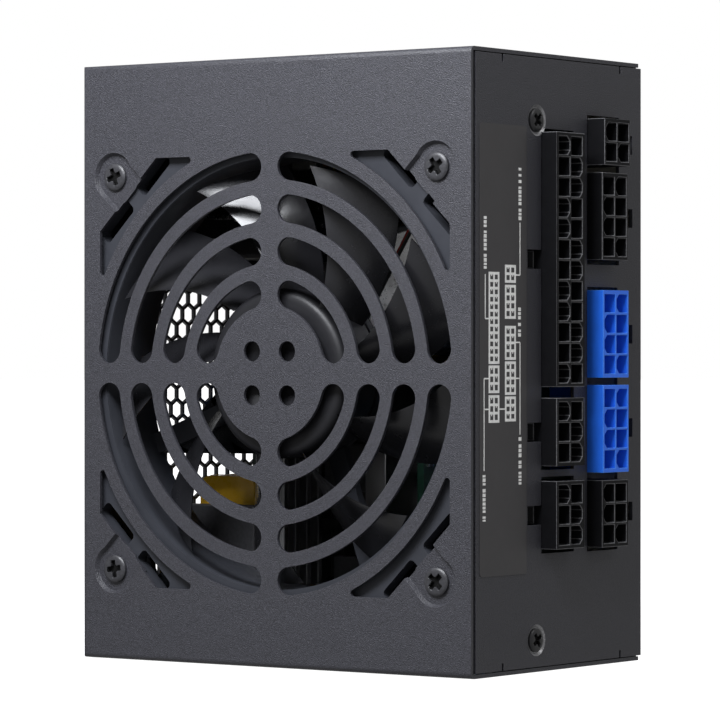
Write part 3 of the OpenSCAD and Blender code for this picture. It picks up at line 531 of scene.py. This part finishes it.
def screw_head(radius, height, rings=26, steps=96):
    """Pan head with a cross recess whose arms taper as they go down; its underside is at z = 0.

    Returns the points, the faces of the head and the faces of the recess, which get a near-black colour as
    painted shade.
    """
    arm, half = 0.66 * radius, 0.17 * radius  # reach and half width of the cross
    droop, depth = 0.4, 0.92  # shares of the height that the rim falls and the recess is cut
    points, faces, recess = [(0, 0, 0)], [], [False]
    for i in range(rings + 1):
        r = radius * i / rings
        for k in range(steps):
            a = 2 * math.pi * k / steps
            x, y = abs(r * math.cos(a)), abs(r * math.sin(a))
            long_way, across = max(x, y), min(x, y)
            crown = height * (1 - droop * (r / radius) ** 8)
            well = (1 - ease(half * 0.85, half * 1.25, across)) * (1 - ease(arm * 0.86, arm, long_way))
            core = 1 - ease(half * 1.2, half * 2.2, r)
            sunk = max(well, core)
            recess.append(sunk > 0.3)
            points.append((r * math.cos(a), r * math.sin(a), crown - depth * height * sunk))
    for i in range(rings):
        for k in range(steps):
            a = 1 + i * steps
            faces.append((a + k, a + (k + 1) % steps, a + steps + (k + 1) % steps, a + steps + k))
    rim = 1 + rings * steps
    low = len(points)
    points += [(radius * math.cos(2 * math.pi * k / steps), radius * math.sin(2 * math.pi * k / steps), 0)
               for k in range(steps)]
    for k in range(steps):
        n = (k + 1) % steps
        faces += [(rim + k, rim + n, low + n, low + k), (low + k, low + n, 0)]
    recess += [False] * steps
    dark = [face for face in faces if sum(recess[i] for i in face) > 1]
    light = [face for face in faces if sum(recess[i] for i in face) <= 1]
    return points, light, dark


def add_screws(name, node, directions, height, shank, mats):
    """Detailed screws where a CAD node has plain ones; directions picks the way each head faces."""
    first_turn, next_turn = 0.15, 0.22  # radians; no two crosses stand alike
    tip_cone = 0.3
    parts = []
    for number, (low, high) in enumerate(islands(node)):
        middle = (low + high) / 2
        way = Vector(directions(middle))
        axis = max(range(3), key=lambda i: abs(way[i]))
        radius = (high[axis - 1] - low[axis - 1]) / 2
        tip = high[axis] if way[axis] > 0 else low[axis]
        seat = middle.copy()
        seat[axis] = tip - way[axis] * height
        depth = high[axis] - low[axis] - height
        stand = facing(seat, way, first_turn + number * next_turn)
        points, light, dark = screw_head(radius, height)
        parts.append(place((points, light, 0), stand))
        # the recess faces take the near-black painted shade
        parts.append(place((points, dark, 1), stand))
        stem = [(shank, 0.05), (shank, tip_cone - depth), (shank - tip_cone, -depth), (0, -depth)]
        parts.append(place(lathe(stem, steps=24), stand))
    add_mesh(name, parts, mats, stands_for=(node,))


def add_fasteners():
    """The cover's screws face out of either end; all the others face the fan side."""
    add_screws("cover_screws_detailed", "cover_screws", lambda p: TO_SOCKETS if p.x > 0 else TO_MAINS,
               0.8, 1.28, ["screw", "recess"])
    for node, height, shank, finish, slot in (("fan_screws", 0.95, 1.9, "fan_screw", "black_screws"),
                                              ("board_screws", 1.6, 1.2, "steel", "bright_steel"),
                                              ("earth_screw", 1.8, 1.5, "steel", "bright_steel")):
        add_screws(node + "_detailed", node, lambda p: TO_FAN, height, shank, [finish, "recess"])


def add_dimple_rims():
    """The slope of the dimples that the two panel screws sit in, in a lighter metallic colour: a painted
    highlight.
    """
    wall = box_mm("fan_cover")[1].x
    slope = [(2.45, -0.46), (2.6, -0.46), (3.2, 0.01)]
    parts = []
    for low, high in islands("cover_screws"):
        middle = (low + high) / 2
        if middle.x > 0:
            seat = facing((wall, middle.y, middle.z), TO_SOCKETS)
            parts.append(place(lathe(slope, steps=64), seat))
    add_mesh("screw_dimple_highlight_rims", parts, ["dimple"])


# ---------------------------------------------------------------- fan

# height of the fan's axis, the planes of the frame's and the hub's front, and the hub's open end
FAN_Z = 60.2
FAN_FRONT = -29.95
HUB_FRONT = FAN_FRONT + 0.45
HUB_BACK = -18.35
HUB_R = 17.5
TIP_R = 43.2
BLADES = 9
# axes of a part of the fan: z runs out of the grille
FAN_AXES = facing((0, 0, FAN_Z), TO_FAN)


def blade(turn, rows=14, cols=16):
    """A cambered blade between a swept leading edge and the trailing edge, in fan axes."""
    inner = HUB_R - 0.3  # the foot is sunk in the hub
    base = 17  # radius where the two widths below hold
    chord_there, chord_growth = 18.2, 0.19  # degrees, and degrees for each mm outward
    rise_there, rise_loss = 9.7, 0.02  # mm from leading to trailing edge, and mm for each mm outward
    lead_angle, lead_radius, sweep = 58, 23.3, 1.05  # degrees of the leading edge, where, and for each mm
    points = []
    for side in (1, -1):
        for i in range(rows + 1):
            r = inner + (TIP_R - inner) * i / rows
            chord = chord_there + (r - base) * chord_growth
            rise = rise_there - (r - base) * rise_loss
            for j in range(cols + 1):
                c = 0.5 - 0.5 * math.cos(math.pi * j / cols)
                angle = math.radians(lead_angle + (r - lead_radius) * sweep - c * chord) + turn
                z = -HUB_FRONT - 0.6 - rise * (c * 0.75 + c * c * 0.25) * 0.98
                thick = 1.9 * math.sqrt(c + 0.02) * (1 - c) * 0.5 + 0.16
                points.append((r * math.cos(angle), r * math.sin(angle), z + side * thick / 2))
    # points in one row, and points on one side
    m, n = cols + 1, (rows + 1) * (cols + 1)
    faces = []
    for i in range(rows):
        for j in range(cols):
            a = i * m + j
            faces += [(a, a + m, a + m + 1, a + 1), (n + a, n + a + 1, n + a + m + 1, n + a + m)]
    rim = list(range(m)) + [i * m + cols for i in range(1, rows + 1)]
    rim += [rows * m + j for j in range(cols - 1, -1, -1)] + [i * m for i in range(rows - 1, 0, -1)]
    for a, b in zip(rim, rim[1:] + rim[:1]):
        faces.append((a, b, b + n, a + n))
    return points, faces, 0


def add_rotor():
    """Hub with a shallow dish, a rounded edge and a boss inside, and its ring of blades."""
    front, back = -HUB_FRONT, -HUB_BACK
    bend, skirt, top = 2, 1.25, 1.5  # edge radius, and thickness of the hub's side and front
    boss, boss_end, bore, bore_end = 3, 3.5, 1.05, 0.8
    cap = [(0, front - 0.25), (6.4, front - 0.25), (6.7, front - 0.02), (15.2, front)]
    cap += [(HUB_R - bend + bend * math.sin(a), front - bend + bend * math.cos(a))
            for a in (math.pi / 2 * k / 6 for k in range(1, 7))]
    cap += [(HUB_R, back), (HUB_R - skirt, back), (HUB_R - skirt, front - top), (boss, front - top),
            (boss, front - boss_end), (bore, front - boss_end), (bore, front - bore_end),
            (0, front - bore_end)]
    parts = [place(lathe(cap, 1, 72), FAN_AXES)]
    for b in range(BLADES):
        parts.append(place(blade(2 * math.pi * b / BLADES), FAN_AXES))
    add_mesh("fan_rotor_moulded", parts, ["blade", "hub"], body="rotor",
             stands_for=("fan_rotor",))


def add_frame_lip():
    """The low lip round the mouth of the fan's bore, which shows in the corner windows."""
    front = -FAN_FRONT
    lip = [(44.4, front), (44.4, front + 0.2), (46.6, front + 0.2), (46.8, front)]
    add_mesh("fan_frame_lip", [place(lathe(lip, steps=128), FAN_AXES)], ["fan"])


def add_fan_lead():
    """Red and black wire side by side, from the fan's back to its plug on the main board."""
    back = FAN_FRONT + 15
    route = [(8, back - 1.7, FAN_Z + 7), (8, back - 0.4, FAN_Z + 7), (10, back + 0.9, 69),
             (18, back + 1, 82), (27, back + 1, 96), (33, -11, 106), (35, -3, 109), (32, 6, 110),
             (30, 12, 110), (30, BOARD_Y - 6, 110)]
    path = smooth_route(route)
    radius = 0.4
    first = [p + Vector((0, 0, radius)) for p in path]
    second = [p - Vector((0, 0, radius)) for p in path]
    add_wires("fan_lead_pair", [first, second], radius, ["wire_red", "wire_black"],
              stands_for=("fan_lead",))


# ---------------------------------------------------------------- wound parts

def ring_turn(ro, ri, height, lift, wire, angle):
    """One turn of wire round a ring core's section, in board axes."""
    corner = wire * 1.4
    low, high = lift - wire, lift + height + wire
    near, far = ri - wire, ro + wire
    path = []
    for cx, cz, start in ((far - corner, high - corner, 0), (near + corner, high - corner, 90),
                          (near + corner, low + corner, 180), (far - corner, low + corner, 270)):
        for k in range(4):
            a = math.radians(start + 30 * k)
            path.append((cx + corner * math.cos(a), cz + corner * math.sin(a)))
    return [(r * math.cos(angle), r * math.sin(angle), z) for r, z in path]


def board_axes(low, high):
    """Axes of what stands on the main board between two corners: z runs up from the board."""
    return facing(((low.x + high.x) / 2, BOARD_Y, (low.z + high.z) / 2), TO_FAN)


def add_ring_winding(node, core, ro, ri, height, wire, arcs):
    """Single turns round a ring core; arcs lists (first angle, sweep) in degrees."""
    axes = board_axes(*box_mm(core))
    lift = 1.5  # the core's height above the board
    spacing = 2 * wire * 0.98  # the turns lie tight against each other
    turns = []
    for start, sweep in arcs:
        count = int(math.radians(sweep) * (ri - wire) / spacing)
        for k in range(count + 1):
            angle = math.radians(start + sweep * k / count)
            turns.append([axes @ Vector(p) for p in ring_turn(ro, ri, height, lift, wire, angle)])
    add_wires(node + "_turns", turns, wire, ["copper"] * len(turns),
              stands_for=(node,), closed=True)


def add_ring_windings():
    add_ring_winding("line_filter_winding", "line_filter_core", 8, 4.4, 9, 0.5, [(24, 132), (204, 132)])
    add_ring_winding("pfc_choke_winding", "pfc_choke_core", 12, 6.6, 11, 0.62, [(18, 322)])


# bands of tape up a bobbin: the middle and the width of each, as shares of its depth
TAPE_BANDS = ((0.1, 0.07), (0.42, 0.16), (0.8, 0.1))


def tape_band(low, high, y, width):
    """One closed band with round corners, a little larger than the bobbin between two corners."""
    proud, corner = 0.12, 2.5
    middle = (low + high) / 2
    half_x, half_z = (high.x - low.x) / 2, (high.z - low.z) / 2
    outline = []
    for cx, cz, start in ((1, 1, 0), (-1, 1, 90), (-1, -1, 180), (1, -1, 270)):
        for k in range(7):
            a = math.radians(start + 15 * k)
            outline.append((middle.x + cx * (half_x - corner) + (corner + proud) * math.cos(a),
                            middle.z + cz * (half_z - corner) + (corner + proud) * math.sin(a)))
    n = len(outline)
    points = [(x, y + s * width / 2, z) for s in (-1, 1) for x, z in outline]
    return points, [(k, (k + 1) % n, n + (k + 1) % n, n + k) for k in range(n)], 0


def add_tape_bands():
    """Turns of tape that stand proud of each wound bobbin, inside its core's window."""
    for node, finish in (("transformer_winding", "tape"), ("standby_winding", "dark_tape"),
                         ("resonant_winding", "dark_tape")):
        low, high = box_mm(node)
        depth = high.y - low.y
        parts = [tape_band(low, high, low.y + depth * at, depth * wide) for at, wide in TAPE_BANDS]
        piece = add_mesh(node + "_tape", parts, [finish])
        thick = piece.modifiers.new("tape", "SOLIDIFY")
        thick.thickness = 0.1 * MM
        thick.offset = -1


# ---------------------------------------------------------------- parts on the boards

def can_profile(radius, height):
    """Sleeved can: rolled foot, waist, sleeve lip over the top."""
    return [(radius - 0.6, 0.5), (radius, 1.1), (radius, 2.6), (radius - 0.5, 3.1), (radius, 3.7),
            (radius, height - 1), (radius - 0.25, height - 0.4), (radius - 0.9, height - 0.1),
            (radius - 1.5, height - 0.1)]


def lid_profile(radius, height):
    """The bare metal lid inside the sleeve's lip, dished a little."""
    return [(radius - 1.5, height - 0.1), (radius - 1.6, height - 0.45), (radius - 2.2, height - 0.5),
            (0, height - 0.42)]


def vent_marks(radius, height, arms):
    """Raised edges of a pressed vent: thin bars from the middle of the lid."""
    half = 0.09
    bar = block((0.2, -half, height - 0.5), (radius * 0.62, half, height - 0.34), 0.04, 1)
    return [place(bar, Matrix.Rotation(2 * math.pi * k / arms + 0.4, 4, "Z")) for k in range(arms)]


def add_bulk_capacitor():
    """Large can in its sleeve, with a blank grey label round part of it and a pressed vent."""
    low, high = box_mm("bulk_capacitor")
    radius, height = (high.x - low.x) / 2, BOARD_Y - low.y
    steps, first, last = 64, 8, 46  # steps round the can, and those that the label covers
    wrap = radius + 0.03
    points, faces, _ = lathe([(wrap, height * 0.3), (wrap, height * 0.93)], steps=steps)
    label = [f for f in faces if first <= min(i % steps for i in f) <= last]
    parts = [lathe(can_profile(radius, height), 0, steps), lathe(lid_profile(radius, height), 1, steps),
             (points, label, 2)] + vent_marks(radius, height, 3)
    add_mesh("bulk_capacitor_sleeved", [place(p, board_axes(low, high)) for p in parts],
             ["sleeve", "can", "grey_label"], stands_for=("bulk_capacitor",))


def add_output_capacitors():
    """Bare cans with a rolled groove at the foot and half of the top coloured."""
    steps = 32
    parts = []
    for low, high in islands("output_capacitors"):
        radius, height = (high.x - low.x) / 2, BOARD_Y - low.y
        can = [(radius - 0.3, 0.4), (radius, 0.7), (radius, 1.6), (radius - 0.3, 2), (radius, 2.4),
               (radius, height - 0.5), (radius - 0.4, height - 0.1), (radius - 0.8, height - 0.25),
               (0, height - 0.25)]
        points, faces, _ = lathe([(radius * 0.72, height - 0.24), (0, height - 0.2)], steps=steps)
        half = [f for f in faces if min(f) < steps // 2]
        axes = board_axes(low, high)
        parts += [place(lathe(can, 0, steps), axes), place((points, half, 1), axes)]
    add_mesh("output_capacitors_detailed", parts, ["can", "disc"],
             stands_for=("output_capacitors",))


def add_fuse():
    """Ceramic tube between two metal caps, lying along the board."""
    low, high = box_mm("fuse")
    length, radius = high.z - low.z, (high.x - low.x) / 2
    cap_length, cap_bend, tube_inset, overlap = 5, 0.3, 0.4, 0.4
    axes = facing(((low.x + high.x) / 2, (low.y + high.y) / 2, low.z), (0, 0, 1))
    reach = cap_length - overlap
    parts = [lathe([(radius - tube_inset, reach), (radius - tube_inset, length - reach)], 0, 32)]
    for start, end in ((0, cap_length), (length - cap_length, length)):
        cap = [(0, start), (radius - cap_bend, start), (radius, start + cap_bend),
               (radius, end - cap_bend), (radius - cap_bend, end), (0, end)]
        parts.append(lathe(cap, 1, 32))
    add_mesh("fuse_with_caps", [place(p, axes) for p in parts], ["ceramic", "steel"],
             stands_for=("fuse",))


def scatter(rng, count, u_range, v_range, blocked, size):
    """Places for small chips on a board, clear of what stands there and of each other.

    blocked lists rectangles (u from, u to, v from, v to) that stay bare, and size is the space kept.
    """
    tries = count * 12
    places = []
    for _ in range(tries):
        u, v = rng.uniform(*u_range), rng.uniform(*v_range)
        clear = all(not (a - size < u < b + size and c - size < v < d + size) for a, b, c, d in blocked)
        if clear and all(max(abs(u - p[0]), abs(v - p[1])) > size * 2 for p in places):
            places.append((u, v))
        if len(places) == count:
            break
    return places


def chip(at, half_w, half_h, height, end, end_edge):
    """A small chip and the two solder beads at its ends, on a board's face."""
    body = place(block((-half_w, -half_h, 0), (half_w, half_h, height), 0.08), at)
    beads = [place(block((side * half_w - end, -half_h, 0), (side * half_w + end, half_h, height + 0.03),
                         end_edge), at) for side in (-1, 1)]
    return body, beads


def standing_on(face):
    """Rectangles in x and z of the CAD nodes that stand on the main board's face or reach through it."""
    near = 3.5
    rectangles = []
    for name in NODES:
        low, high = box_mm(name)
        if name in ("main_board", "base_shell", "fan_cover", "insulation_sheet"):
            continue
        if abs(high.y - face) < near or low.y < face < high.y:
            rectangles.append((low.x, high.x, low.z, high.z))
    return rectangles


def add_board_trimmings():
    """Chips and solder beads on the boards that the grille and the honeycomb let show."""
    rng = random.Random(7)
    chips, beads = [], []
    for u, v in scatter(rng, 90, (-44, 35), (8, 80), standing_on(BOARD_Y), 1.3):
        half_w, half_h = rng.choice(((0.8, 0.5), (0.5, 0.8), (1.0, 0.65)))
        body, ends = chip(facing((u, BOARD_Y, v), TO_FAN), half_w, half_h, 0.55, 0.18, 0.12)
        chips.append(body)
        beads += ends
    # the face that shows of each standing board, the way it faces and what stands on it
    control_thickness = 1.6
    standing_boards = (
        ("socket_board", box_mm("socket_board")[0].x, TO_MAINS, []),
        ("control_board", box_mm("control_board")[0].x + control_thickness, TO_SOCKETS, [(-2, 8.5, 84, 99)]),
        ("converter_board", box_mm("converter_board")[1].x, TO_SOCKETS, []),
    )
    for node, face, way, blocked in standing_boards:
        low, high = box_mm(node)
        for u, v in scatter(rng, 34, (low.y + 1.5, high.y - 4), (low.z + 2, high.z - 2), blocked, 1.2):
            body, ends = chip(facing((face, u, v), way), 0.7, 0.45, 0.5, 0.16, 0.1)
            chips.append(body)
            beads += ends
    add_mesh("board_chips", chips, ["epoxy"])
    add_mesh("board_solder", beads, ["steel"])


# ---------------------------------------------------------------- mains side

# points of the leads, as in the design
MAINS_ROUTES = [
    [(-24.3, 19.2, 105.5), (-23.2, 19.2, 105.6), (-22.6, 17, 108), (-23, 12, 110), (-24, 5, 110),
     (-26, -2, 106.5), (-28.6, -4.5, 103.7), (-29.8, -4.5, 103.5)],
    [(-29.8, -4.5, 93.5), (-28.6, -4.5, 93.4), (-26, -4.2, 92.2), (-24, 0, 89), (-24.6, 10, 84),
     (-25.5, 18, 79.5), (-25.5, 22.4, 78.1), (-25.5, 23.75, 78)],
    [(-24.3, 19.2, 91.5), (-23.3, 19.2, 91.4), (-22.5, 19.6, 89.5), (-22.3, 20.5, 85), (-22, 21, 81),
     (-21.5, 22.3, 78.2), (-21.5, 23.75, 77.9)],
]
EARTH_ROUTE = [(-24.3, 15.2, 98.5), (-23.3, 15.2, 98.6), (-22.6, 17, 99.6), (-22.9, 21.5, 101.5),
               (-24.2, 25, 107), (-25.4, 27.4, 112.5), (-26, 28.8, 115.8), (-27.35, 29.3, 117)]


def add_mains_leads():
    """Brown and blue leads with black sleeves at their ends, and the striped earth lead with its lug."""
    routes = [smooth_route(route) for route in MAINS_ROUTES]
    add_wires("mains_leads_coloured", routes, 0.93, ["wire_brown", "wire_brown", "wire_blue"],
              stands_for=("mains_leads",))
    covered = 9  # points of a route that a sleeve covers
    sleeves = [route[:covered] for route in routes] + [routes[0][-covered:]]
    add_wires("lead_sleeves", sleeves, 1.02, ["wire_black"] * len(sleeves))
    add_wires("earth_lead_striped", [smooth_route(EARTH_ROUTE)], 0.88, ["wire_earth"],
              stands_for=("earth_lead",))
    low, high = box_mm("earth_screw")
    eye = Vector(((low.x + high.x) / 2, high.y, (low.z + high.z) / 2))
    inner, outer, thick = 1.6, 3, 0.55
    lug = lathe([(inner, 0), (outer, 0), (outer, thick), (inner, thick), (inner, 0)], 0, 40)
    barrel = lathe([(0.9, 0), (1.2, 0.1), (1.2, 3.6), (0.9, 3.7)], 0, 24)
    parts = [place(lug, facing(eye, TO_FAN)), place(barrel, facing(eye + Vector((2.8, -1.3, 0)), TO_SOCKETS))]
    add_mesh("earth_lug", parts, ["steel"])


def add_rocker_marks():
    """Generic bar and ring marks on the two faces of the rocker, raised a little."""
    low, high = box_mm("switch_housing")
    pivot = Vector((-49, (low.y + high.y) / 2, (low.z + high.z) / 2))
    tilt = math.radians(10)  # how far the rocker leans at rest
    rise, run = 1.4, 9  # each face climbs this much over this length, from the middle outward
    middle_height, reach, clear = 2.6, 4.6, 0.01
    proud = 0.05
    ring = lathe([(1.05, 0), (1.05, proud), (1.35, proud), (1.35, 0)], 0, 32)
    bar = block((-1.3, -0.16, 0), (1.3, 0.16, proud))
    upright = Matrix.Rotation(math.pi / 2, 4, "Z")
    parts = []
    for side in (-1, 1):
        along, height = side * reach, middle_height + rise * reach / run + clear
        up = along * math.cos(tilt) - height * math.sin(tilt)
        out = along * math.sin(tilt) + height * math.cos(tilt)
        angle = tilt + side * math.atan2(rise, run)
        at = facing(pivot + Vector((-out, 0, up)), (-math.cos(angle), 0, -math.sin(angle)))
        parts.append(place(ring, at) if side > 0 else place(bar, at @ upright))
    add_mesh("rocker_marks", parts, ["ink"], body="rocker")


# ---------------------------------------------------------------- print on the socket map

# The map is laid out in mm: across from the fan face, and down from the top of the unit.
# Each socket on it is one of two columns wide, then from, to and its rows of cells.
LEFT_COLUMN, RIGHT_COLUMN = (6, 9.8), (11.8, 15.7)
MAP_SOCKETS = (
    (LEFT_COLUMN, 44.5, 62.8, 12), (LEFT_COLUMN, 63.1, 68.6, 3), (LEFT_COLUMN, 69, 74.5, 3),
    (RIGHT_COLUMN, 43, 46.6, 2), (RIGHT_COLUMN, 47, 53.8, 4), (RIGHT_COLUMN, 55.2, 62, 4),
    (RIGHT_COLUMN, 62.3, 69, 4), (RIGHT_COLUMN, 69.3, 74.3, 3),
)
# leader lines: across, from, to; and then from, to, down
LEADERS_DOWN = ((17.2, 34.5, 45), (4.8, 45, 53.8), (17.2, 58.5, 77), (4.4, 65.7, 84))
LEADERS_ACROSS = ((15.7, 17.2, 45), (4.8, 6, 53.8), (15.7, 17.2, 58.5), (15.7, 17.2, 65.7),
                  (4.4, 6, 65.7), (4.4, 6, 71.8), (9.8, 11.8, 71.8))
# rows of dashes that stand where words would be: across, from, to
WORD_ROWS = ((17.2, 23.5, 34), (4.8, 33.5, 44), (17, 51.5, 57.5), (17.2, 77.5, 87), (4.4, 84.8, 94))


def add_label_print():
    """A map of the sockets as small grids, with leader lines, and dashes in place of words."""
    base = box_mm("socket_map_label")[1].x
    front = box_mm("fan_cover")[0].y
    top = 125.0
    ink_height, half_line = 0.02, 0.14
    parts = []

    def bar(across0, across1, down0, down1):
        parts.append(block((base, front + across0, top - down1),
                           (base + ink_height, front + across1, top - down0)))

    def grid(across0, across1, down0, down1, rows, columns=2, wall=0.55):
        cell_w = (across1 - across0 - wall * (columns + 1)) / columns
        cell_h = (down1 - down0 - wall * (rows + 1)) / rows
        for i in range(columns + 1):
            start = across0 + i * (cell_w + wall)
            bar(start, start + wall, down0, down1)
        for j in range(rows + 1):
            start = down0 + j * (cell_h + wall)
            for i in range(columns):
                left = across0 + wall + i * (cell_w + wall)
                bar(left, left + cell_w, start, start + wall)
        # a short key mark in one cell of each row, left and right in turn
        for j in range(rows):
            left = across0 + wall + (cell_w + wall) * (j % 2)
            start = down0 + wall + j * (cell_h + wall)
            bar(left + cell_w * 0.36, left + cell_w * 0.64, start, start + cell_h * 0.3)

    def dashes(middle, down0, down1, rng):
        half_height = 0.5
        at = down0
        while at < down1:
            dash = rng.uniform(0.45, 0.8)
            bar(middle - half_height, middle + half_height, at, min(at + dash, down1))
            at += dash + rng.choice((0.2, 0.2, 0.2, 0.2, 0.7))

    for column, down0, down1, rows in MAP_SOCKETS:
        grid(*column, down0, down1, rows)
    for across, down0, down1 in LEADERS_DOWN:
        bar(across - half_line, across + half_line, down0, down1)
    for across0, across1, down in LEADERS_ACROSS:
        bar(across0, across1, down - half_line, down + half_line)
    rng = random.Random(3)
    for across, down0, down1 in WORD_ROWS:
        dashes(across, down0, down1, rng)
    add_mesh("socket_map_print", parts, ["ink"])


MATS = make_materials()
add_camera()
add_studio()
add_floor()
dress_nodes(MATS)
add_fasteners()
add_dimple_rims()
add_rotor()
add_frame_lip()
add_fan_lead()
add_ring_windings()
add_tape_bands()
add_bulk_capacitor()
add_output_capacitors()
add_fuse()
add_board_trimmings()
add_mains_leads()
add_rocker_marks()
add_label_print()
